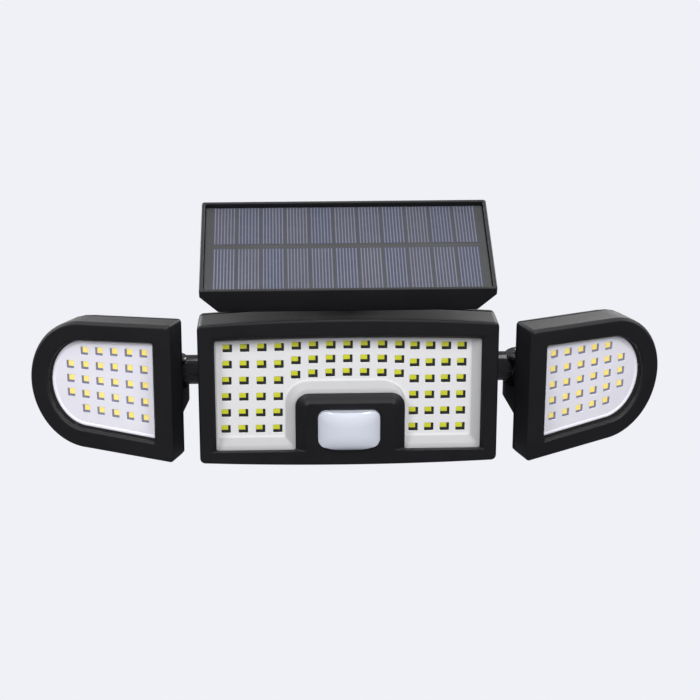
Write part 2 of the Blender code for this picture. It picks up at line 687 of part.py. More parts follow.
def build_side_cover(name, side):
    """The back cover, with the ear that the hinge screw passes through and a rib under it."""
    y0 = SIDE_BACK - COVER_T
    even, eased = side_even(0.4), side_even(1.5, 1.4)
    rings = [ring(even, y0), ring(even, SIDE_BACK - 1.1), ring(eased, SIDE_BACK)]
    cover = loft(f"{name}_back_cover", rings, side=side)
    foot_y = SIDE_BACK - 0.8
    ear_outline = arc((0.0, 0.0), (EYE_R, EYE_R), 0, 180, 13) + [(-EYE_R, foot_y), (EYE_R, foot_y)]
    rib_foot = [(x, foot_y + 0.08 * (y - foot_y)) for x, y in ear_outline]
    ear_rings = [ring(ear_outline, z, "Z") for z in reversed(EAR_Z)] + [ring(rib_foot, EAR_Z[0] - 8.6, "Z")]
    ear = loft(f"{name}_ear", ear_rings, side=side)
    pocket = rod(f"{name}_nut_pocket", 4.3, EAR_Z[0] - 12, EAR_Z[0] + 0.2, "Z", sides=18, side=side)
    bore = rod(f"{name}_ear_bore", 2.2, EAR_Z[0] - 12, EAR_Z[1] + 2, "Z", side=side)
    holes = [
        rod(f"{name}_hole_{n}", 1.6, y0 - 1, SIDE_BACK + 1, "Y", place, 10, side)
        for n, place in enumerate(side_screw_places())
    ]
    return cut(join(cover, ear), bore, pocket, *holes)


def build_side_head(name, side):
    pieces = [build_side_bezel(name, side), *build_side_optics(name, side), build_side_cover(name, side)]
    for n, place in enumerate(side_screw_places(), 1):
        rings = screw_rings(SIDE_BACK + GAP, 6.6, 2.4, 1.5, 1.2, "Y", place)
        pieces.append(loft(f"{name}_case_screw_{n}", rings, "steel", side))
    nut = nut_rings(EAR_Z[0] - GAP - 2.4, EAR_Z[0] - GAP, 3.4, PIN_R + GAP, "Z", (0.0, 0.0))
    pieces.append(loft(f"{name}_hinge_nut", nut, "steel", side, looped=True))
    return pieces


# ---- Solar panel ----


def build_panel():
    sides, front, back = TUB_INSET
    skin = 2.0
    ledge_z = LAMINATE[0] - 1.2
    rings = [
        ring(panel_outline(sides + skin, front + skin, back + skin), TUB_BOTTOM + skin, "Z"),
        ring(panel_outline(4.5, 4.5, 4.5), ledge_z - 1.5, "Z"),
        ring(panel_outline(4.5, 4.5, 4.5), ledge_z, "Z"),
        ring(panel_outline(RIM_W, RIM_W, RIM_W), ledge_z, "Z"),
        ring(panel_outline(RIM_W, RIM_W, RIM_W), RIM_Z, "Z"),
        ring(panel_outline(0.4, 0.4, 0.4), RIM_Z, "Z"),
        ring(panel_outline(), RIM_Z - 0.4, "Z"),
        ring(panel_outline(), RIM_Z - RIM_H, "Z"),
        ring(panel_outline(sides, front, back), TUB_BOTTOM, "Z"),
    ]
    tub = loft("panel_tub", rings)
    in_rim = RIM_W + GAP
    seal_outer, seal_inner = panel_outline(in_rim, in_rim, in_rim), panel_outline(4.2, 4.2, 4.2)
    laminate = loft("solar_laminate", [ring(seal_outer, z, "Z") for z in LAMINATE], "solar_cells")
    seal_z = (ledge_z + GAP, LAMINATE[0] - GAP)
    seal_rings = [ring(seal_outer, seal_z[0], "Z"), ring(seal_outer, seal_z[1], "Z")]
    seal_rings += [ring(seal_inner, seal_z[1], "Z"), ring(seal_inner, seal_z[0], "Z")]
    seal = loft("panel_seal", seal_rings, "rubber", looped=True)

    foot = bowed(17.0, 11.0, 0.0, 0.0, 2.5, turn=3, across=2)
    foot_z = (TUB_BOTTOM - GAP - 1.4, TUB_BOTTOM - GAP)
    hinge = loft("panel_hinge", [ring(foot, foot_z[0], "Z"), ring(foot, foot_z[1], "Z")])
    lug_outline = arc((0.0, 0.0), (5.4, 5.4), 180, 360, 10)
    lug_outline += [(5.4, foot_z[0] + 0.7), (-5.4, foot_z[0] + 0.7)]
    lug = loft("panel_lug", [ring(lug_outline, -6.7, "X"), ring(lug_outline, 6.7, "X")])
    lug_bore = rod("panel_lug_bore", 2.3, -20, 20, "X")
    places = [(x, y) for x in (-13.4, 13.4) for y in (-7.6, 7.6)]
    through, posts = [], []
    for n, place in enumerate(places):
        through.append(rod(f"hinge_hole_{n}", 1.3, foot_z[0] - 1, TUB_BOTTOM + 4.6, "Z", place, 10))
        posts.append(rod(f"panel_post_in_{n}", 2.8, TUB_BOTTOM + 1, TUB_BOTTOM + 6.0, "Z", place, 12))
    cut(join(hinge, lug), lug_bore, *through)
    cut(join(tub, *posts), *[again(hole, f"tub_hole_{n}") for n, hole in enumerate(through)])
    pieces = [tub, laminate, seal, hinge]
    for n, place in enumerate(places, 1):
        rings = screw_rings(foot_z[0] - GAP, 5.6, 2.2, 1.3, 1.0, "Z", place, -1)
        pieces.append(loft(f"hinge_plate_screw_{n}", rings, "steel"))
    return pieces


def again(obj, name):
    """Another object with the same mesh."""
    copy = bpy.data.objects.new(name, obj.data)
    bpy.context.scene.collection.objects.link(copy)
    return copy


def build():
    clear_scene()
    wall = frame_at("wall_bracket", (0, 0, 0))
    carry(wall, build_bracket())
    tilt = frame_at("main_head", (0, TILT_Y, 0), parent=wall)
    pieces, button = build_main_head()
    carry(tilt, pieces, in_place=True)
    press = frame_at("mode_button_axis", (BUTTON[0], HOUSING_BACK_Y - TILT_Y, BUTTON[1]), parent=tilt)
    carry(press, [button], in_place=True)
    for name, side in (("left", -1), ("right", 1)):
        yaw, lean = REST[name]
        arm = frame_at(f"{name}_arm_axis", (0, HINGE_Y - TILT_Y, ARM_Z), "X", -lean, tilt)
        carry(arm, build_arm(name, side))
        head = frame_at(f"{name}_head_axis", (side * HINGE_X, 0, -ARM_Z), "Z", side * yaw, arm)
        carry(head, build_side_head(name, side))
    panel = frame_at("solar_panel", (0, PIVOT_Y - TILT_Y, PIVOT_Z), "X", PANEL_TILT, tilt)
    carry(panel, build_panel())


build()
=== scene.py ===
"""The looks of a solar flood light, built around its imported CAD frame.

Points are in millimetres in a place's own frame, and a Shell turns them into metres in the CAD frame.
"""

import json
import math

import bmesh
import bpy
from mathutils import Matrix, Vector
from mathutils.geometry import tessellate_polygon


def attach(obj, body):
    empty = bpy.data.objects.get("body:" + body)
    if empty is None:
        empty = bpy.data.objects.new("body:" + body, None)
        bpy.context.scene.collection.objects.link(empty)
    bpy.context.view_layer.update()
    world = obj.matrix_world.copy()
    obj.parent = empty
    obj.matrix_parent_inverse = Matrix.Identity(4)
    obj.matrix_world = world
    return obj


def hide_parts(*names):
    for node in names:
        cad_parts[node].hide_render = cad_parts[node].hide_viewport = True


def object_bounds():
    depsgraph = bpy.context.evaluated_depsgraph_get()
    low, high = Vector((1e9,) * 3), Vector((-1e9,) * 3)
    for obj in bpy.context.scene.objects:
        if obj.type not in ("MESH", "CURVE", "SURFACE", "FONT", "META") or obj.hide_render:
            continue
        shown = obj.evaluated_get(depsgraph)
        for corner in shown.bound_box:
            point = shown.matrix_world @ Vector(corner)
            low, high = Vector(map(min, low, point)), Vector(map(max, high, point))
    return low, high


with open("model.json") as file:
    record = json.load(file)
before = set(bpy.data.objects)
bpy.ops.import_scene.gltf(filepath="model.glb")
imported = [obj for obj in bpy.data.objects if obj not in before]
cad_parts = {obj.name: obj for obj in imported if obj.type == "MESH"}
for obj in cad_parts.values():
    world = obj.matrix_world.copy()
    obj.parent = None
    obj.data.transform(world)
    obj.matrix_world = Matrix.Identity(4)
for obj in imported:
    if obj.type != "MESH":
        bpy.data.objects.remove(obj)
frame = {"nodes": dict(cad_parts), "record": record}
cad_low, cad_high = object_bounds()

MM = 0.001
HERE = Matrix()  # the CAD frame itself
SIDES = (("left", -1), ("right", 1))


# ---- Measures from the frame ----


def extent(node, place=HERE):
    """Lowest and highest corner of a CAD node in a place's frame, in millimetres."""
    back = place.inverted()
    points = [back @ (v.co / MM) for v in frame["nodes"][node].data.vertices]
    return tuple(Vector([pick(p[i] for p in points) for i in range(3)]) for pick in (min, max))


def widest_normal(node):
    """The direction that a plate's largest faces look in."""
    return max(frame["nodes"][node].data.polygons, key=lambda face: face.area).normal


def joint_line(joint):
    """A joint's position, as a translation in millimetres, and the direction of its axis."""
    found = next(j for j in frame["record"]["behaviour"]["joints"] if j["name"] == joint)
    return Matrix.Translation(Vector(found["pos_m"]) / MM), Vector(found["axis"]).normalized()


def side_place(name, side):
    """A side head's frame: origin and +Z on its yaw hinge, +X outwards, -Y out of its front."""
    place, axis = joint_line(f"{name}_head_yaw")
    up = axis if axis.z > 0 else -axis
    normal = widest_normal(f"{name}_lens")
    back = normal if normal.y > 0 else -normal
    turn = Matrix((back.cross(up), back, up)).transposed().to_4x4()
    return place @ turn @ Matrix.Diagonal((side, 1, 1, 1))


def panel_place():
    """The panel's frame: origin on its pivot, +Y up the slope, +Z out of the cells."""
    normal = widest_normal("solar_laminate")
    if normal.z < 0:
        normal = -normal
    return joint_line("panel_tilt")[0] @ Matrix.Rotation(math.atan2(-normal.y, normal.z), 4, "X")


# ---- Outlines: closed lists of (a, b) points, and sections: lists of (inset, level) ----


def arc(centre, radii, start, end, steps):
    """Points on an ellipse's arc from start to end, in degrees, both ends included."""
    angles = [math.radians(start + (end - start) * i / steps) for i in range(steps + 1)]
    return [(centre[0] + radii[0] * math.cos(t), centre[1] + radii[1] * math.sin(t)) for t in angles]


def bowed(low, high, crown, sole, radius, turn=6, across=24):
    """Rounded rectangle whose top rises by crown and whose bottom drops by sole in the middle."""
    (x0, z0), (x1, z1) = low, high
    middle, half = (x0 + x1) / 2, (x1 - x0) / 2 - radius
    along = [half * (1 - 2 * i / across) for i in range(1, across)]
    round_off = (radius, radius)
    points = arc((x1 - radius, z0 + radius), round_off, -90, 0, turn)
    points += arc((x1 - radius, z1 - radius), round_off, 0, 90, turn)
    points += [(middle + x, z1 + crown * (1 - (x / half) ** 2)) for x in along]
    points += arc((x0 + radius, z1 - radius), round_off, 90, 180, turn)
    points += arc((x0 + radius, z0 + radius), round_off, 180, 270, turn)
    points += [(middle - x, z0 - sole * (1 - (x / half) ** 2)) for x in along]
    return points


def softened(corners, turn):
    """An outline through (a, b, radius) corners, rounded in turn steps. A radius of 0 leaves one point."""
    points = []
    for i, (a, b, radius) in enumerate(corners):
        here = Vector((a, b))
        if radius == 0:
            points.append((a, b))
            continue
        before = (Vector(corners[i - 1][:2]) - here).normalized()
        after = (Vector(corners[(i + 1) % len(corners)][:2]) - here).normalized()
        half = before.angle(after) / 2
        centre = here + (before + after).normalized() * radius / math.sin(half)
        start = here + before * radius / math.tan(half) - centre
        end = here + after * radius / math.tan(half) - centre
        swing = start.angle_signed(end)  # clockwise is positive
        first = math.atan2(start.y, start.x)
        for k in range(turn + 1):
            t = first - swing * k / turn
            points.append((centre.x + radius * math.cos(t), centre.y + radius * math.sin(t)))
    return points


def quarter(inset, level, radius, steps, sign=1):
    """A rounded edge's section.

    It starts on the wall at inset, sign * radius from level, and ends at level, radius further in.
    """
    angles = [math.radians(90 * k / steps) for k in range(steps + 1)]
    return [
        (inset + radius * (1 - math.cos(t)), level + sign * radius * (1 - math.sin(t))) for t in angles
    ]


# ---- Shells ----


class Shell:
    """Gathers rings of points and the faces between them, and makes them a piece of the object."""

    def __init__(self, place=HERE):
        self.bm = bmesh.new()
        self.place = place

    def ring(self, outline, level, axis="Y"):
        """The corners of an outline standing at level on the Y or the Z axis."""
        if axis == "Y":
            return [self.point((a, level, b)) for a, b in outline]
        return [self.point((a, b, level)) for a, b in outline]

    def point(self, p):
        return self.bm.verts.new((self.place @ Vector(p)) * MM)

    def bridge(self, rings):
        """Four-sided faces between each ring and the next one."""
        for low, high in zip(rings, rings[1:]):
            for i in range(len(low)):
                j = (i + 1) % len(low)
                self.bm.faces.new((low[i], low[j], high[j], high[i]))
        return rings

    def fill(self, *loops):
        """A flat face inside the first loop, with the other loops as its holes."""
        corners = [v for loop in loops for v in loop]
        for three in tessellate_polygon([[v.co for v in loop] for loop in loops]):
            self.bm.faces.new([corners[i] for i in three])

    def fan(self, ring):
        """Closes a ring with triangles about its middle."""
        middle = self.bm.verts.new(sum((v.co for v in ring), Vector()) / len(ring))
        for i in range(len(ring)):
            self.bm.faces.new((ring[i], ring[(i + 1) % len(ring)], middle))

    def solid(self, rings):
        """A solid through the rings, with a flat face at each end."""
        self.bridge(rings)
        self.fill(rings[0])
        self.fill(rings[-1])

    def block(self, low, high, chamfer=0.0, face="Y"):
        """A box. The edges round its side at the low end of the face axis are chamfered."""
        along = "XYZ".index(face)
        a, b = [i for i in range(3) if i != along]
        steps = [(high[along], 0.0), (low[along] + chamfer, 0.0), (low[along], chamfer)]
        if chamfer == 0.0:
            steps = [(high[along], 0.0), (low[along], 0.0)]
        rings = []
        for level, inset in steps:
            a0, a1, b0, b1 = low[a] + inset, high[a] - inset, low[b] + inset, high[b] - inset
            rings.append(self.ring([(a0, b0), (a1, b0), (a1, b1), (a0, b1)], level, face))
        self.bridge(rings)
        self.bm.faces.new(rings[0])
        self.bm.faces.new(rings[-1])

    def piece(self, name, look, body, *nodes, sharp=38):
        """The finished piece, riding on a body in place of some CAD nodes."""
        bmesh.ops.recalc_face_normals(self.bm, faces=self.bm.faces)
        mesh = bpy.data.meshes.new(name)
        self.bm.to_mesh(mesh)
        self.bm.free()
        obj = bpy.data.objects.new(name, mesh)
        bpy.context.scene.collection.objects.link(obj)
        mesh.materials.append(look)
        mesh.shade_smooth()
        mesh.set_sharp_from_angle(angle=math.radians(sharp))
        normals = obj.modifiers.new("even_normals", "WEIGHTED_NORMAL")
        normals.keep_sharp = True
        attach(obj, body)
        if nodes:
            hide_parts(*nodes)
        return obj


# ---- Materials ----


def new_surface(name, slot, **sockets):
    """A material, its node tree, its Principled shader and its object coordinates."""
    made = bpy.data.materials.new(name)
    made.use_nodes = True
    made["slot"] = slot
    tree = made.node_tree
    shader = tree.nodes["Principled BSDF"]
    for socket, value in sockets.items():
        shader.inputs[socket.replace("_", " ")].default_value = value
    where = tree.nodes.new("ShaderNodeTexCoord").outputs["Object"]
    return made, tree, shader, where


def noise(tree, where, scale, detail=2.0, stretch=None):
    """Noise from 0 to 1. scale is in features per metre, and stretch scales each axis."""
    if stretch:
        mapping = tree.nodes.new("ShaderNodeMapping")
        mapping.inputs["Scale"].default_value = stretch
        tree.links.new(where, mapping.inputs["Vector"])
        where = mapping.outputs["Vector"]
    node = tree.nodes.new("ShaderNodeTexNoise")
    node.inputs["Scale"].default_value = scale
    node.inputs["Detail"].default_value = detail
    tree.links.new(where, node.inputs["Vector"])
    return node.outputs["Fac"]


def ranged(tree, value, low, high, start=0.3, end=0.7):
    """A value from start to end made into one from low to high."""
    node = tree.nodes.new("ShaderNodeMapRange")
    for socket, number in (("From Min", start), ("From Max", end), ("To Min", low), ("To Max", high)):
        node.inputs[socket].default_value = number
    tree.links.new(value, node.inputs["Value"])
    return node.outputs["Result"]


def blended(tree, factor, low, high):
    """A colour between two, each a colour or a socket."""
    node = tree.nodes.new("ShaderNodeMix")
    node.data_type = "RGBA"
    tree.links.new(factor, node.inputs["Factor"])
    for socket, colour in (("A", low), ("B", high)):
        target = next(s for s in node.inputs if s.name == socket and s.type == "RGBA")
        if isinstance(colour, tuple):
            target.default_value = (*colour, 1.0)
        else:
            tree.links.new(colour, target)
    return next(s for s in node.outputs if s.type == "RGBA")


def bumped(tree, shader, height, distance, strength):
    """Gives the surface a bump, whose distance is in millimetres."""
    node = tree.nodes.new("ShaderNodeBump")
    node.inputs["Distance"].default_value = distance * MM
    node.inputs["Strength"].default_value = strength
    tree.links.new(height, node.inputs["Height"])
    tree.links.new(node.outputs["Normal"], shader.inputs["Normal"])


DRIFT = 40  # how many times wider than its grain a surface's colour patches are


def grained(name, slot, colours, roughness, grain, bump, stretch=None, **sockets):
    """A surface whose colour drifts between two, with a fine grain in its roughness and its height."""
    made, tree, shader, where = new_surface(name, slot, **sockets)
    drift = noise(tree, where, grain / DRIFT, 3.0)
    fine = noise(tree, where, grain, 2.0, stretch)
    tree.links.new(blended(tree, ranged(tree, drift, 0.0, 1.0), *colours), shader.inputs["Base Color"])
    tree.links.new(ranged(tree, fine, *roughness), shader.inputs["Roughness"])
    bumped(tree, shader, fine, *bump)
    return made


def moulded_black(name, colours, painted_top_light, **sockets):
    """Textured black plastic, with a painted top light: a little lighter on upward faces, as light from above
    would make them.
    """
    made = grained(name, "black_housing", colours, (0.44, 0.60), 2200.0, (0.05, 0.5), **sockets)
    tree = made.node_tree
    shader = tree.nodes["Principled BSDF"]
    plain = shader.inputs["Base Color"].links[0].from_socket
    split = tree.nodes.new("ShaderNodeSeparateXYZ")
    tree.links.new(tree.nodes.new("ShaderNodeTexCoord").outputs["Normal"], split.inputs["Vector"])
    upward = ranged(tree, split.outputs["Z"], 0.0, 1.0, 0.25, 0.65)
    tree.links.new(blended(tree, upward, plain, painted_top_light), shader.inputs["Base Color"])
    return made


def tray_surface(name, floor_y, floor_colour, slope_shade_colour):
    """Satin white plastic with painted shade: a little darker on the slopes round its floor."""
    made, tree, shader, where = new_surface(name, "white_reflector", Specular_IOR_Level=0.3)
    split = tree.nodes.new("ShaderNodeSeparateXYZ")
    tree.links.new(where, split.inputs["Vector"])
    height = ranged(tree, split.outputs["Y"], 0.0, 1.0, (floor_y - 0.1) * MM, (floor_y - 0.5) * MM)
    tree.links.new(blended(tree, height, floor_colour, slope_shade_colour), shader.inputs["Base Color"])
    fine = noise(tree, where, 1800.0)
    tree.links.new(ranged(tree, fine, 0.34, 0.5), shader.inputs["Roughness"])
    bumped(tree, shader, fine, 0.03, 0.25)
    return made


def cell_surface(name, tint_layer):
    """Polycrystalline cells: blue-grey with slow grain patches, and a tint of its own for each cell."""
    made, tree, shader, where = new_surface(
        name, "solar_cells", Coat_Weight=0.3, Coat_Roughness=0.2, Specular_IOR_Level=0.3
    )
    tint = tree.nodes.new("ShaderNodeAttribute")
    tint.attribute_name = tint_layer
    crystals = tree.nodes.new("ShaderNodeTexVoronoi")
    crystals.inputs["Scale"].default_value = 420.0
    tree.links.new(where, crystals.inputs["Vector"])
    split = tree.nodes.new("ShaderNodeSeparateColor")
    tree.links.new(crystals.outputs["Color"], split.inputs["Color"])
    patch = ranged(tree, split.outputs["Red"], 0.0, 0.3, 0.0, 1.0)
    colour = blended(tree, patch, tint.outputs["Color"], (0.075, 0.08, 0.115))
    tree.links.new(colour, shader.inputs["Base Color"])
    tree.links.new(ranged(tree, noise(tree, where, 900.0), 0.36, 0.5), shader.inputs["Roughness"])
    return made


BLACK = ((0.0060, 0.0060, 0.0075), (0.0085, 0.0085, 0.0105))

# Each look has its name and slot, its two colours, its range of roughness, its grain in features per metre,
# and its bump's distance in millimetres and strength.
# Its third colour, (0.020, 0.020, 0.021), is the painted top light on upward faces.
housing_black = moulded_black("housing_black", BLACK, (0.020, 0.020, 0.021), Specular_IOR_Level=0.3)
arm_black = grained(
    "arm_black", "black_housing", BLACK,
    (0.18, 0.26), 900.0, (0.02, 0.1), Specular_IOR_Level=0.7,
)
bracket_black = grained(
    "bracket_black", "black_housing", BLACK,
    (0.40, 0.55), 1500.0, (0.05, 0.4), Specular_IOR_Level=0.4,
)
side_white = grained(
    "side_white", "white_reflector", ((0.80, 0.79, 0.87), (0.84, 0.83, 0.90)),
    (0.34, 0.5), 1800.0, (0.03, 0.25),
)
clear = grained(
    "clear_cover", "clear_cover", ((0.95, 0.96, 0.98), (0.97, 0.98, 1.0)),
    (0.04, 0.08), 300.0, (0.01, 0.1), Alpha=0.012, Specular_IOR_Level=0.25,
)
sensor_milk = grained(
    "sensor_milk", "sensor_lens", ((0.62, 0.65, 0.73), (0.66, 0.69, 0.77)),
    (0.14, 0.20), 500.0, (0.004, 0.05), Coat_Weight=0.8, Coat_Roughness=0.12,
)
main_mask = grained(
    "main_board_mask", "led_board", ((0.003, 0.003, 0.003), (0.005, 0.005, 0.005)),
    (0.7, 0.9), 1500.0, (0.02, 0.3), Specular_IOR_Level=0.1,
)
side_mask = grained(
    "side_board_mask", "led_board", ((0.19, 0.20, 0.30), (0.24, 0.25, 0.35)),
    (0.5, 0.7), 1500.0, (0.02, 0.3),
)
main_phosphor = grained(
    "main_phosphor", "led_board", ((0.54, 0.56, 0.008), (0.62, 0.64, 0.015)),
    (0.5, 0.7), 2500.0, (0.02, 0.3), Specular_IOR_Level=0.15,
)
# Its weak emission is a painted glow that makes the unlit phosphor brighter than its colour allows.
side_phosphor = grained(
    "side_phosphor", "led_board", ((1.0, 0.77, 0.16), (1.0, 0.82, 0.24)),
    (0.5, 0.7), 2500.0, (0.02, 0.3), Specular_IOR_Level=0.2,
    Emission_Color=(1.0, 0.75, 0.15, 1.0), Emission_Strength=0.12,
)
green_board = grained(
    "green_board", "circuit_board", ((0.012, 0.10, 0.035), (0.02, 0.14, 0.05)),
    (0.3, 0.5), 1200.0, (0.03, 0.3),
)
rubber = grained(
    "rubber", "black_rubber", ((0.014, 0.014, 0.014), (0.024, 0.024, 0.024)),
    (0.7, 0.9), 1400.0, (0.06, 0.5),
)
sleeve = grained(
    "cell_sleeve", "battery_cell", ((0.03, 0.16, 0.50), (0.05, 0.22, 0.60)),
    (0.25, 0.35), 300.0, (0.02, 0.2),
)
zinc = grained(
    "zinc", "zinc_steel", ((0.50, 0.50, 0.52), (0.62, 0.62, 0.63)),
    (0.22, 0.42), 700.0, (0.02, 0.3), stretch=(1.0, 1.0, 6.0), Metallic=1.0,
)
black_zinc = grained(
    "black_zinc", "zinc_steel", ((0.03, 0.03, 0.032), (0.05, 0.05, 0.052)),
    (0.3, 0.45), 700.0, (0.02, 0.3), Metallic=1.0,
)
laminate_border = grained(
    "laminate_border", "solar_cells", ((0.030, 0.031, 0.033), (0.038, 0.039, 0.041)),
    (0.40, 0.55), 1500.0, (0.02, 0.2), Coat_Weight=0.3, Coat_Roughness=0.2,
)
finger_print = grained(
    "finger_print", "solar_cells", ((0.11, 0.115, 0.145), (0.15, 0.155, 0.19)),
    (0.35, 0.5), 900.0, (0.01, 0.2), Coat_Weight=0.3, Coat_Roughness=0.2,
)

TINT = "tint"  # the mesh attribute that holds each cell's own colour
cells = cell_surface("cells", TINT)


# ---- Main head ----

BEZEL_LOW, BEZEL_HIGH = extent("main_bezel")
LENS_LOW, LENS_HIGH = extent("main_lens")
FACE_Y = BEZEL_LOW.y
CROWN, SOLE = 2.3, 1.5  # how far the frame's top and bottom bow outwards
CORNER_R = 2.5
LIP = LENS_LOW.y - FACE_Y - 0.3  # thickness of the frame round the window
HEAD_WALL = 2.4
LENS_LAP, LENS_SILL_LAP = 2.6, 2.0  # how far the clear window reaches behind the frame, and below its sill
TRAY_LAP, TRAY_SILL_LAP = 2.2, 1.6  # the same for the tray and the board
WINDOW_CROWN = 1.1  # how far the window's top bows outwards
CHAMFER = (1.9, 1.6)  # of the window's edge, across the face and deep
HOOD_SPAN = (-24.9, 26.6)  # left and right side of the sensor hood
HOOD_TOP = -0.5
HOOD_R, HOOD_FOOT_R = 6.5, 0.9
HOOD_SLOPE = 4.6  # width of the slope round the hood
PIR_FLANGE, PIR_SOLE = 1.4, 1.6  # the dome's hidden flange, and how far its opening's bottom bows
PIR_CORNER_R = 3.9


def head_outline(inset):
    low = (BEZEL_LOW.x + inset, BEZEL_LOW.z + SOLE + inset)
    high = (BEZEL_HIGH.x - inset, BEZEL_HIGH.z - CROWN - inset)
    return bowed(low, high, CROWN, SOLE, max(CORNER_R - inset, 0.8))


def window_outline(left, right, top, bottom, hood, corner=0.9):
    """The window's outline. Each side moves out by its amount, and so do the hood's left, right and top."""
    x0, x1 = LENS_LOW.x + LENS_LAP - left, LENS_HIGH.x - LENS_LAP + right
    z0, z1 = LENS_LOW.z + LENS_SILL_LAP - bottom, LENS_HIGH.z - LENS_LAP - WINDOW_CROWN + top
    h0, h1, h_top = HOOD_SPAN[0] - hood[0], HOOD_SPAN[1] + hood[1], HOOD_TOP + hood[2]
    middle, half = (x0 + x1) / 2, (x1 - x0) / 2
    corners = [(h1, z0, HOOD_FOOT_R), (x1, z0, corner), (x1, z1, corner)]
    across = 24
    for i in range(1, across):
        x = x1 + (x0 - x1) * i / across
        corners.append((x, z1 + WINDOW_CROWN * (1 - ((x - middle) / half) ** 2), 0))
    corners += [(x0, z1, corner), (x0, z0, corner), (h0, z0, HOOD_FOOT_R)]
    radius = max(HOOD_R + hood[2], 1.0)
    corners += [(h0, h_top, radius), (h1, h_top, radius)]
    return softened(corners, 7)


def window_ring(grow, hood_grow):
    """The window's edge grown outwards, less so at its sill, and the hood's edge grown by its own amount."""
    return window_outline(grow, grow, grow, grow * 0.05, (hood_grow, hood_grow, hood_grow * 0.9))


def tray_edge():
    """The edge of the main tray's back and of its board, hidden behind the frame."""
    return window_outline(TRAY_LAP, TRAY_LAP, TRAY_LAP, TRAY_SILL_LAP, (-TRAY_LAP,) * 3, 1.0)


def pir_outline(inset, span=1.0):
    """The sensor opening's outline, set in, and then shrunk about its middle to a share of itself."""
    low, high = extent("pir_lens")
    x0, x1 = low.x + PIR_FLANGE + inset, high.x - PIR_FLANGE - inset
    z0, z1 = low.z + PIR_FLANGE + PIR_SOLE + inset, high.z - PIR_FLANGE - inset
    outline = bowed((x0, z0), (x1, z1), 0.0, PIR_SOLE, max(PIR_CORNER_R - inset, 1.0), turn=8)
    middle = ((x0 + x1) / 2, (z0 + z1) / 2)
    return [(middle[0] + (a - middle[0]) * span, middle[1] + (b - middle[1]) * span) for a, b in outline]


def build_main_bezel():
    """The frame, from its back round the outside to its face, with the window and the sensor's opening."""
    shell = Shell()
    back, lip_back = BEZEL_HIGH.y, FACE_Y + LIP
    outer = [(1.0, back), (0.45, back - 0.25), (0.35, back - 0.9), (0.0, FACE_Y + 3.0)]
    outer += quarter(0.0, FACE_Y, 1.3, 5) + [(2.2, FACE_Y)]
    outside = shell.bridge([shell.ring(head_outline(inset), y) for inset, y in outer])
    across, deep = CHAMFER
    steps = [
        (across + 0.9, -HOOD_SLOPE - 0.9, 0.0),
        (across + 0.3, -HOOD_SLOPE - 0.3, 0.0),
        (across - 0.05, -HOOD_SLOPE + 0.05, 0.1),
        (across * 0.55, -HOOD_SLOPE * 0.84, deep * 0.45),
        (across * 0.1, -HOOD_SLOPE * 0.55, deep * 0.92),
        (0.0, -HOOD_SLOPE * 0.3, deep * 1.15),
        (0.0, 0.0, LIP),
    ]
    window = shell.bridge([shell.ring(window_ring(grow, hood), FACE_Y + y) for grow, hood, y in steps])
    hole = [(-1.6, 0.0), (-0.9, 0.0), (-0.55, 0.12), (-0.32, 0.45), (-0.3, LIP)]
    pir = shell.bridge([shell.ring(pir_outline(inset), FACE_Y + y) for inset, y in hole])
    shell.fill(outside[-1], window[0], pir[0])
    inside = shell.bridge([shell.ring(head_outline(HEAD_WALL), y) for y in (lip_back, back)])
    shell.fill(inside[0], window[-1], pir[-1])
    shell.bridge([inside[-1], outside[0]])
    shell.piece("main_frame", housing_black, "main_head", "main_bezel")


def build_main_cover():
    shell = Shell()
    edge = window_outline(LENS_LAP, LENS_LAP, LENS_LAP, LENS_SILL_LAP, (-LENS_LAP,) * 3)
    shell.solid([shell.ring(edge, y) for y in (LENS_LOW.y, LENS_HIGH.y)])
    shell.piece("main_clear_cover", clear, "main_head", "main_lens")


# The columns of LEDs: the first one's place, their pitch and their count.
LEFT_LEDS, MIDDLE_LEDS, RIGHT_LEDS = (-56.3, 8.07, 4), (-24.1, 8.07, 7), (31.4, 7.37, 4)
SIDE_ROWS = (20.7, 8.1, 6)  # top row, pitch and count of the rows at the sides
MIDDLE_ROWS = (21.9, 6.85)  # top row and pitch of the rows over the hood
TOP_BOW = 0.6  # how far the top row rises towards its middle
MIDDLE_DROOPS = (0.3, 0.7, 1.0)  # how far each row over the hood falls towards its ends
HALF_SPAN, MIDDLE_HALF_SPAN = 56.3, 24.2  # from the middle to the end columns of all rows and of those rows


def led_groups():
    """Middles of the main LEDs: two groups of four columns at the sides, and three rows over the hood."""

    def columns(first, pitch, count):
        return [first + pitch * i for i in range(count)]

    def fanned(x, row):
        return x + row * (0.0019 * x - 0.165)

    places = []
    top, pitch, count = SIDE_ROWS
    for row in range(count):
        for x in columns(*LEFT_LEDS) + columns(*RIGHT_LEDS):
            bow = TOP_BOW * (1 - (x / HALF_SPAN) ** 2) if row == 0 else 0.0
            places.append((fanned(x, row), top - pitch * row + bow))
    top, pitch = MIDDLE_ROWS
    for row, droop in enumerate(MIDDLE_DROOPS):
        for x in columns(*MIDDLE_LEDS):
            places.append((fanned(x, row), top - pitch * row - droop * (x / MIDDLE_HALF_SPAN) ** 2))
    return places


HOLE_CORNER_R = 0.25
HOLE_EDGE = (0.12, 0.15)  # a hole's chamfer, across and deep
SHEET = 0.3  # thickness of a tray's floor about its holes
BOARD_GAP = 0.05  # between a tray and its board
LED_PROUD = 0.3  # how far an LED stands out of its board, into its hole
LED_DEPTH, LED_CHAMFER = 0.6, 0.06
MAIN_TRAY_DEPTH = 2.6
TRAY_LOW = extent("main_reflector")[0]
TRAY_FLOOR_Y = TRAY_LOW.y + MAIN_TRAY_DEPTH
BOARD_BACK_Y = extent("main_led_board")[1].y
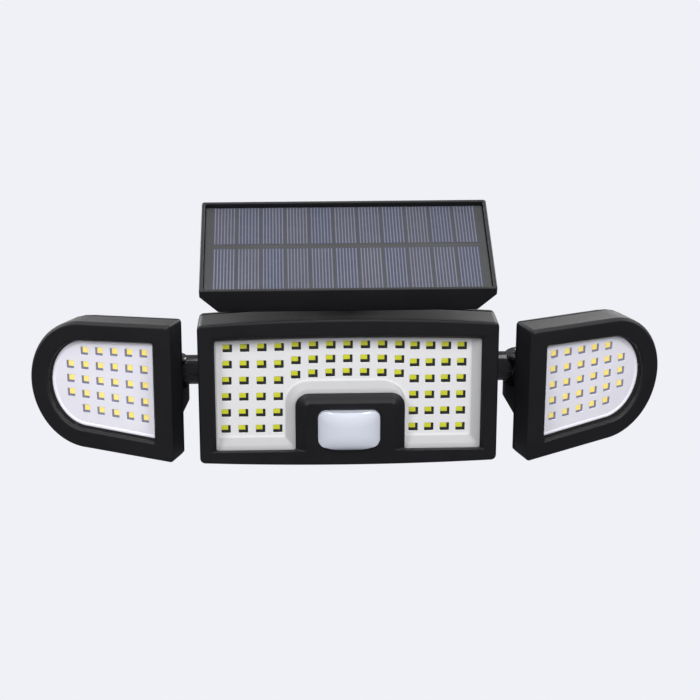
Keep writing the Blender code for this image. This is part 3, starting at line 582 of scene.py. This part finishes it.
# Half the width and height of a hole and of an LED, and how far the LED stands from its hole's middle.
MAIN_HOLE, MAIN_LED, MAIN_LED_SHIFT = (2.2, 1.95), (1.55, 1.12), (-0.6, 0.78)
SIDE_HOLE, SIDE_LED, SIDE_LED_SHIFT = (1.95, 1.95), (1.27, 1.27), (-0.58, 0.58)


def rectangle(centre, half):
    (x, z), (w, h), r = centre, half, HOLE_CORNER_R
    return softened([(x - w, z - h, r), (x + w, z - h, r), (x + w, z + h, r), (x - w, z + h, r)], 2)


def perforated(shell, outer_rings, back_ring, places, half, front_y, back_y):
    """A tray: its slopes from the floor's edge outwards, a floor with a hole at each place, and a back."""
    shell.bridge(outer_rings + [back_ring])
    across, deep = HOLE_EDGE
    mouths, ends = [], []
    for place in places:
        wide = (half[0] + across, half[1] + across)
        steps = ((wide, front_y), (half, front_y + deep), (half, back_y))
        rings = shell.bridge([shell.ring(rectangle(place, size), y) for size, y in steps])
        mouths.append(rings[0])
        ends.append(rings[-1])
    shell.fill(outer_rings[0], *mouths)
    shell.fill(back_ring, *ends)


def build_main_tray():
    """A white tray whose slopes are wide on the right, along the bottom and on the hood's left and top."""
    shell = Shell()
    sill = (TRAY_FLOOR_Y - TRAY_LOW.y) * 0.88
    rings = [
        shell.ring(window_outline(-0.9, -5.0, -0.9, -5.6, (5.4, 0.5, 5.4), 1.2), TRAY_FLOOR_Y),
        shell.ring(window_outline(-0.6, -4.3, -0.6, -4.8, (4.7, 0.5, 4.7), 1.2), TRAY_FLOOR_Y - 0.25),
        shell.ring(window_outline(-0.1, -0.9, -0.1, -1.3, (1.2, 0.2, 1.2), 1.2), TRAY_FLOOR_Y - sill),
        shell.ring(window_outline(0.3, 0.1, 0.3, 0.0, (-0.1, -0.1, -0.1), 1.0), TRAY_LOW.y),
        shell.ring(tray_edge(), TRAY_LOW.y),
    ]
    back = shell.ring(tray_edge(), TRAY_FLOOR_Y + SHEET)
    perforated(shell, rings, back, led_groups(), MAIN_HOLE, TRAY_FLOOR_Y, TRAY_FLOOR_Y + SHEET)
    # The second colour, (0.50, 0.50, 0.51), is the painted shade on the tray's slopes.
    look = tray_surface("main_white", TRAY_FLOOR_Y, (0.74, 0.74, 0.75), (0.50, 0.50, 0.51))
    shell.piece("main_tray", look, "main_head", "main_reflector", sharp=10)


def build_leds(shell, places, half, shift, board_y):
    """An LED in each hole, standing a little out of the board behind it."""
    front = board_y - LED_PROUD
    for x, z in places:
        low = (x + shift[0] - half[0], front, z + shift[1] - half[1])
        high = (x + shift[0] + half[0], front + LED_DEPTH, z + shift[1] + half[1])
        shell.block(low, high, LED_CHAMFER)


def build_main_board():
    shell, leds = Shell(), Shell()
    front = TRAY_FLOOR_Y + SHEET + BOARD_GAP
    shell.solid([shell.ring(tray_edge(), y) for y in (front, BOARD_BACK_Y)])
    shell.piece("main_board", main_mask, "main_head", "main_led_board")
    build_leds(leds, led_groups(), MAIN_LED, MAIN_LED_SHIFT, front)
    leds.piece("main_leds", main_phosphor, "main_head")


DOME_SPANS = (0.995, 0.985, 0.97, 0.95, 0.92, 0.88, 0.82, 0.74, 0.64, 0.52, 0.38, 0.22, 0.08)


def build_sensor_dome():
    """A barrel-shaped dome: curved across, nearly straight up and down, with tight turns at its edges."""
    low, high = extent("pir_lens")
    seat = FACE_Y + 0.9
    rise = 0.8  # how far the dome's crest stands above the lens's middle
    edge = 0.5  # height of the dome's edge over its seat
    middle_x, middle_z = (low.x + high.x) / 2, (low.z + high.z) / 2 + rise
    half_x, half_z = (high.x - low.x) / 2 - PIR_FLANGE, (high.z - low.z) / 2 - PIR_FLANGE
    depth = seat - low.y - 0.6
    shell = Shell()

    def level(a, b):
        across = min(abs(a - middle_x) / half_x, 1.0)
        up = min(abs(b - middle_z) / (half_z + rise), 1.0)
        return seat - depth * (1 - across**2.2) ** 0.75 * (1 - up**3) ** 0.5 - edge

    rings = [shell.ring(pir_outline(0.0), FACE_Y + LIP), shell.ring(pir_outline(0.0), seat)]
    for span in DOME_SPANS:
        rings.append([shell.point((a, level(a, b), b)) for a, b in pir_outline(0.0, span)])
    shell.bridge(rings)
    shell.fan(rings[-1])
    shell.fill(rings[0])
    shell.piece("sensor_dome", sensor_milk, "main_head", "pir_lens", sharp=60)


# ---- Side heads ----

SIDE_CORNER_R = 1.6
SIDE_FRAME = (9.1, 9.5, 9.6)  # frame width on the inner edge, the long edges and the round end
SIDE_LIP = 1.8  # thickness of the frame round the window
SIDE_WALL = 2.2
END_R = 28.5  # depth of the round end
ARC_DROP = 2.2  # how much lower than the inner edge's half height the round end starts
COVER_LAP = 3.4  # how far the clear cover reaches behind the frame
BOARD_INSET = 1.6  # of the board's edge from the window's
SIDE_FLOOR = 0.8  # how far the tray's floor lies behind the front of its CAD node
SIDE_COLUMNS, FIRST_COLUMN, COLUMN_PITCH = 6, 15.4, 7.7
ROW_PITCH, ROW_CLOSING, ROW_LIFT = 7.95, 0.21, 1.6  # at the first column, closing up by column, and offset up


class SideHead:
    """One side head's measures and pieces."""

    def __init__(self, name, side):
        self.name = name
        self.body = f"{name}_head"
        self.place = side_place(name, side)
        self.low, self.high = extent(f"{name}_bezel", self.place)
        self.floor = extent(f"{name}_reflector", self.place)[0].y + SIDE_FLOOR

    def outline(self, inner, edge=None, end=None, radius=SIDE_CORNER_R):
        """Straight on the inner edge and round on the other, set in by inner, edge and end."""
        edge = inner if edge is None else edge
        end = inner if end is None else end
        x0, half = self.low.x + inner, self.high.z - edge
        arc_x = self.high.x - END_R
        radii = (END_R - end, self.high.z - ARC_DROP - edge)
        points = arc((x0 + radius, -half + radius), (radius, radius), 180, 270, 6)
        points += arc((arc_x, 0.0), radii, -90, 90, 60)
        points += arc((x0 + radius, half - radius), (radius, radius), 90, 180, 6)
        return points

    def window(self, grow, radius=1.0):
        inner, edge, end = SIDE_FRAME
        return self.outline(inner - grow, edge - grow, end - grow, radius)

    def bezel(self):
        shell = Shell(self.place)
        front, back = self.low.y, self.high.y
        outer = [(0.9, back), (0.5, back - 0.2), (0.4, back - 0.7), (0.0, front + 3.0), (0.0, front + 1.75)]
        outer += [(0.08, front + 1.5), (0.25, front + 1.3), (1.15, front + 0.28), (1.4, front + 0.08)]
        outer += [(1.75, front), (2.4, front)]
        outside = [
            shell.ring(self.outline(inset, radius=max(SIDE_CORNER_R - inset, 1.0)), y) for inset, y in outer
        ]
        shell.bridge(outside)
        steps = [(1.6, 0.0), (1.15, 0.0), (0.92, 0.1), (0.35, 0.62), (0.1, 0.95), (0.0, 1.25)]
        steps.append((0.0, SIDE_LIP))
        window = shell.bridge([shell.ring(self.window(grow), front + y) for grow, y in steps])
        shell.fill(outside[-1], window[0])
        levels = (front + SIDE_LIP, back)
        inside = shell.bridge([shell.ring(self.outline(SIDE_WALL, radius=1.0), y) for y in levels])
        shell.fill(inside[0], window[-1])
        shell.bridge([inside[-1], outside[0]])
        shell.piece(f"{self.name}_frame", housing_black, self.body, f"{self.name}_bezel")

    def cover(self):
        node = f"{self.name}_lens"
        low, high = extent(node, self.place)
        shell = Shell(self.place)
        shell.solid([shell.ring(self.window(COVER_LAP), y) for y in (low.y, high.y)])
        shell.piece(f"{self.name}_clear_cover", clear, self.body, node)

    def led_places(self):
        """Columns of five LEDs, with three in the last one, whose rows close up towards the round end."""
        places = []
        for column in range(SIDE_COLUMNS):
            x = self.low.x + FIRST_COLUMN + COLUMN_PITCH * column
            pitch = ROW_PITCH - ROW_CLOSING * column
            rows = (-1, 0, 1) if column == SIDE_COLUMNS - 1 else (-2, -1, 0, 1, 2)
            places += [(x, ROW_LIFT + pitch * row) for row in rows]
        return places

    def tray(self):
        """The tray stands a little clear of the frame all round and has a rolled border."""
        floor = self.floor
        shell = Shell(self.place)
        section = [(-2.3, floor), (-2.0, floor - 0.08), (-1.75, floor - 0.3), (-1.5, floor - 0.45)]
        section += [(-1.1, floor - 0.5), (-0.75, floor - 0.42), (-0.5, floor - 0.2), (-0.45, floor)]
        rings = [shell.ring(self.window(grow, max(0.9 + grow / 4, 0.4)), y) for grow, y in section]
        back = shell.ring(self.window(-0.45, 0.8), floor + SHEET)
        perforated(shell, rings, back, self.led_places(), SIDE_HOLE, floor, floor + SHEET)
        shell.piece(f"{self.name}_tray", side_white, self.body, f"{self.name}_reflector")

    def board(self):
        node = f"{self.name}_led_board"
        back = extent(node, self.place)[1].y
        front = self.floor + SHEET + BOARD_GAP
        shell, leds = Shell(self.place), Shell(self.place)
        shell.solid([shell.ring(self.window(-BOARD_INSET), y) for y in (front, back)])
        shell.piece(f"{self.name}_board", side_mask, self.body, node)
        build_leds(leds, self.led_places(), SIDE_LED, SIDE_LED_SHIFT, front)
        leds.piece(f"{self.name}_leds", side_phosphor, self.body)

    def build(self):
        self.bezel()
        self.cover()
        self.tray()
        self.board()


# ---- Solar panel ----

RIM_W, RIM_H = 1.7, 4.0
TUB_CORNER_R, TUB_SOLE_R = 1.2, 2.0
TUB_TAPER = (7.3, 0.8, 7.3)  # how far the tub's bottom is set in at the sides, in front and at the back
GLASS_BED = 1.2  # between the laminate and the tub's floor
CELL_COLUMNS, CELL_FINGERS = 11, 7
CELL_MARGIN = 5.9  # from the tub's sides to the cells
CELL_GAP = 0.95  # between columns
CELL_SINK = 0.05  # how deep the cells' undersides lie in the laminate
CELL_H, FINGER_H = 0.07, 0.05
FINGER_HALF_W, FINGER_SHORT = 0.26, 0.25  # half a finger's width, and how far it ends inside its cell
FINGER_SINK = 0.02


def build_panel():
    """The tub, from its bottom up the outside, over the rim and down to its floor, and the laminate in it."""
    place = panel_place()
    low, high = extent("panel_tub", place)
    glass_low, glass_high = extent("solar_laminate", place)

    def outline(inset=0.0, front=None, back=None, radius=TUB_CORNER_R):
        y0 = low.y + (inset if front is None else front)
        y1 = high.y - (inset if back is None else back)
        return bowed((low.x + inset, y0), (high.x - inset, y1), 0.0, 0.0, radius, turn=5, across=2)

    def tapered(more):
        sides, front, back = TUB_TAPER
        return outline(sides + more, front + more, back + more, TUB_SOLE_R)

    bottom, knee = low.z, high.z - RIM_H
    steps = [(tapered(0.5), bottom), (tapered(0.12), bottom + 0.12), (tapered(0.0), bottom + 0.4)]
    steps += [(outline(0.35, 0.05, 0.35), knee - 0.4), (outline(0.05, 0.0, 0.05), knee - 0.05)]
    steps.append((outline(), knee + 0.3))
    steps += [(outline(inset), level) for inset, level in quarter(0.0, high.z, 0.5, 4, -1)]
    for inset, level in reversed(quarter(0.0, high.z, 0.35, 3, -1)):
        steps.append((outline(RIM_W - inset, radius=0.6), level))
    steps.append((outline(RIM_W, radius=0.6), glass_low.z - GLASS_BED))
    shell = Shell(place)
    shell.solid([shell.ring(edge, level, "Z") for edge, level in steps])
    shell.piece("panel_shell", housing_black, "solar_panel", "panel_tub")

    shell = Shell(place)
    top = glass_high.z - 0.15
    plate = [(0.0, glass_low.z), (0.0, glass_high.z - 0.3), (0.25, top)]
    edge = glass_low.x - low.x
    shell.solid([shell.ring(outline(edge + inset, radius=0.6), level, "Z") for inset, level in plate])
    shell.piece("panel_laminate", laminate_border, "solar_panel", "solar_laminate")
    build_cells(place, top, low, high)


def build_cells(place, top, low, high):
    """Two rows of cells on the laminate, each with its printed fingers and its own tint."""
    x0, x1 = low.x + CELL_MARGIN, high.x - CELL_MARGIN
    pitch = (x1 - x0 + CELL_GAP) / CELL_COLUMNS
    rows = ((low.y + RIM_W + 0.5, -1.15), (2.15, high.y - RIM_W - 0.9))
    tiles, lines = Shell(place), Shell(place)
    tints = []
    for row, (b0, b1) in enumerate(rows):
        for column in range(CELL_COLUMNS):
            a0 = x0 + column * pitch
            a1 = a0 + pitch - CELL_GAP
            tiles.block((a0, b0, top - CELL_SINK), (a1, b1, top + CELL_H), face="Z")
            warm = 0.5 + 0.5 * math.sin(2.4 * column + 1.1 * row)
            tint = (0.036 + 0.010 * warm, 0.042 + 0.003 * warm, 0.080 - 0.012 * warm, 1.0)
            tints += [tint] * 6  # one for each face of the cell's block
            step = (a1 - a0) / CELL_FINGERS
            level = top + CELL_H - FINGER_SINK
            for n in range(CELL_FINGERS):
                x = a0 + step * (n + 0.5)
                start = (x - FINGER_HALF_W, b0 + FINGER_SHORT, level)
                end = (x + FINGER_HALF_W, b1 - FINGER_SHORT, level + FINGER_H)
                lines.block(start, end, face="Z")
    obj = tiles.piece("solar_cell_tiles", cells, "solar_panel")
    layer = obj.data.attributes.new(TINT, "FLOAT_COLOR", "FACE")
    for face, tint in enumerate(tints):
        layer.data[face].color = tint
    lines.piece("cell_fingers", finger_print, "solar_panel")


# ---- The rest: CAD nodes whose shape is right, with eased edges ----

SLOT_LOOKS = {  # the slots of the nodes that no piece replaces
    "black_housing": bracket_black,
    "circuit_board": green_board,
    "black_rubber": rubber,
    "battery_cell": sleeve,
    "zinc_steel": zinc,
}
WELD_DISTANCE, EASED_EDGE = 0.00001, 0.0003  # in metres


def ease_cad_nodes():
    """Gives each CAD node still shown its material, joined-up faces and slightly rounded edges."""
    slots = {part["node"]: part["material_slot"] for part in frame["record"]["subparts"]}
    for name, obj in frame["nodes"].items():
        if obj.hide_render:
            continue
        look = SLOT_LOOKS[slots[name]]
        if name.endswith("_arm"):
            look = arm_black
        elif name.endswith("_hinge_screw"):
            look = black_zinc
        obj.data.materials.clear()
        obj.data.materials.append(look)
        obj.data.shade_smooth()
        weld = obj.modifiers.new("weld", "WELD")
        weld.merge_threshold = WELD_DISTANCE
        edge = obj.modifiers.new("eased", "BEVEL")
        edge.width = EASED_EDGE
        edge.segments = 2
        edge.limit_method = "ANGLE"
        edge.angle_limit = math.radians(40)
        normals = obj.modifiers.new("even_normals", "WEIGHTED_NORMAL")
        normals.weight = 100  # larger faces decide a corner's normal


# ---- Stage ----

PALE = (0.871, 0.879, 0.922)
FILL = (0.22, 0.22, 0.235)
FLOOR_REACH, FLOOR_DROP = 30.0, 1.2  # in metres
LIGHTS = (  # name, place from the lamp's middle and size in metres, power in watts, shown in gloss
    ("key_left", (-0.75, -1.0, 0.95), (0.5, 0.5), 11.0, True),
    ("key_right", (0.75, -1.0, 0.95), (0.5, 0.5), 11.0, True),
    ("front", (0.0, -1.5, 0.75), (0.6, 0.4), 9.0, False),
    ("top", (0.0, 0.15, 1.3), (1.0, 0.5), 7.0, True),
    ("back_left", (-1.0, 1.3, 0.7), (1.2, 0.6), 24.0, True),
    ("back_right", (1.0, 1.3, 0.7), (1.2, 0.6), 24.0, True),
)


def build_floor():
    """A pale floor well below the lamp, which neither lights nor darkens it."""
    floor_mesh = bpy.data.meshes.new("floor")
    r, z = FLOOR_REACH, cad_low.z - FLOOR_DROP
    floor_mesh.from_pydata([(-r, -r, z), (r, -r, z), (r, r, z), (-r, r, z)], [], [(0, 1, 2, 3)])
    floor = bpy.data.objects.new("floor", floor_mesh)
    bpy.context.scene.collection.objects.link(floor)
    paint = bpy.data.materials.new("pale_floor")
    paint.use_nodes = True
    nodes = paint.node_tree.nodes
    nodes.clear()
    glow = nodes.new("ShaderNodeEmission")
    glow.inputs["Color"].default_value = (*PALE, 1.0)
    out = nodes.new("ShaderNodeOutputMaterial")
    paint.node_tree.links.new(glow.outputs["Emission"], out.inputs["Surface"])
    floor_mesh.materials.append(paint)
    floor.visible_diffuse = False
    floor.visible_glossy = False


def build_surround():
    """A world that is pale to the camera and a weak fill light to everything else."""
    world = bpy.data.worlds.new("studio")
    bpy.context.scene.world = world
    world.use_nodes = True
    tree = world.node_tree
    tree.nodes.clear()
    path = tree.nodes.new("ShaderNodeLightPath")
    seen, lit = tree.nodes.new("ShaderNodeBackground"), tree.nodes.new("ShaderNodeBackground")
    seen.inputs["Color"].default_value = (*PALE, 1.0)
    lit.inputs["Color"].default_value = (*FILL, 1.0)
    mix = tree.nodes.new("ShaderNodeMixShader")
    out = tree.nodes.new("ShaderNodeOutputWorld")
    tree.links.new(path.outputs["Is Camera Ray"], mix.inputs[0])
    tree.links.new(lit.outputs[0], mix.inputs[1])
    tree.links.new(seen.outputs[0], mix.inputs[2])
    tree.links.new(mix.outputs[0], out.inputs["Surface"])


def build_lights():
    """Rectangular lights that look at the lamp's middle."""
    centre = (cad_low + cad_high) / 2
    for name, place, size, power, glossy in LIGHTS:
        light = bpy.data.lights.new(name, "AREA")
        light.shape = "RECTANGLE"
        light.size, light.size_y = size
        light.energy = power
        obj = bpy.data.objects.new(name, light)
        bpy.context.scene.collection.objects.link(obj)
        obj.location = centre + Vector(place)
        obj.rotation_euler = (centre - obj.location).to_track_quat("-Z", "Y").to_euler()
        obj.visible_camera = False
        obj.visible_glossy = glossy


AZIMUTH, ELEVATION = math.radians(-2.0), math.radians(20.0)
DISTANCE = 0.970  # from the camera to the main head's face, in metres
SENSOR, FOCAL = 36.0, 106.8  # in millimetres
FACE_OFFSET = Vector((-0.0007, -0.02065))  # where the face's middle stands in the view, in metres


def build_camera():
    """Looks at the main head from slightly left and from above."""
    flat = math.cos(ELEVATION)
    ahead = Vector((-math.sin(AZIMUTH) * flat, math.cos(AZIMUTH) * flat, -math.sin(ELEVATION)))
    right = Vector((math.cos(AZIMUTH), math.sin(AZIMUTH), 0.0))
    up = right.cross(ahead)
    face = Vector((0.0, FACE_Y * MM, 0.0))
    lens = bpy.data.cameras.new("camera")
    lens.sensor_width = SENSOR
    lens.lens = FOCAL
    lens.clip_start, lens.clip_end = 0.01, 100.0
    obj = bpy.data.objects.new("camera", lens)
    bpy.context.scene.collection.objects.link(obj)
    obj.location = face - right * FACE_OFFSET.x - up * FACE_OFFSET.y - ahead * DISTANCE
    obj.rotation_euler = ahead.to_track_quat("-Z", "Y").to_euler()
    bpy.context.scene.camera = obj


def main():
    build_main_bezel()
    build_main_cover()
    build_main_tray()
    build_main_board()
    build_sensor_dome()
    for name, side in SIDES:
        SideHead(name, side).build()
    build_panel()
    ease_cad_nodes()
    build_floor()
    build_surround()
    build_lights()
    build_camera()
    bpy.context.scene.view_settings.view_transform = "Standard"


main()
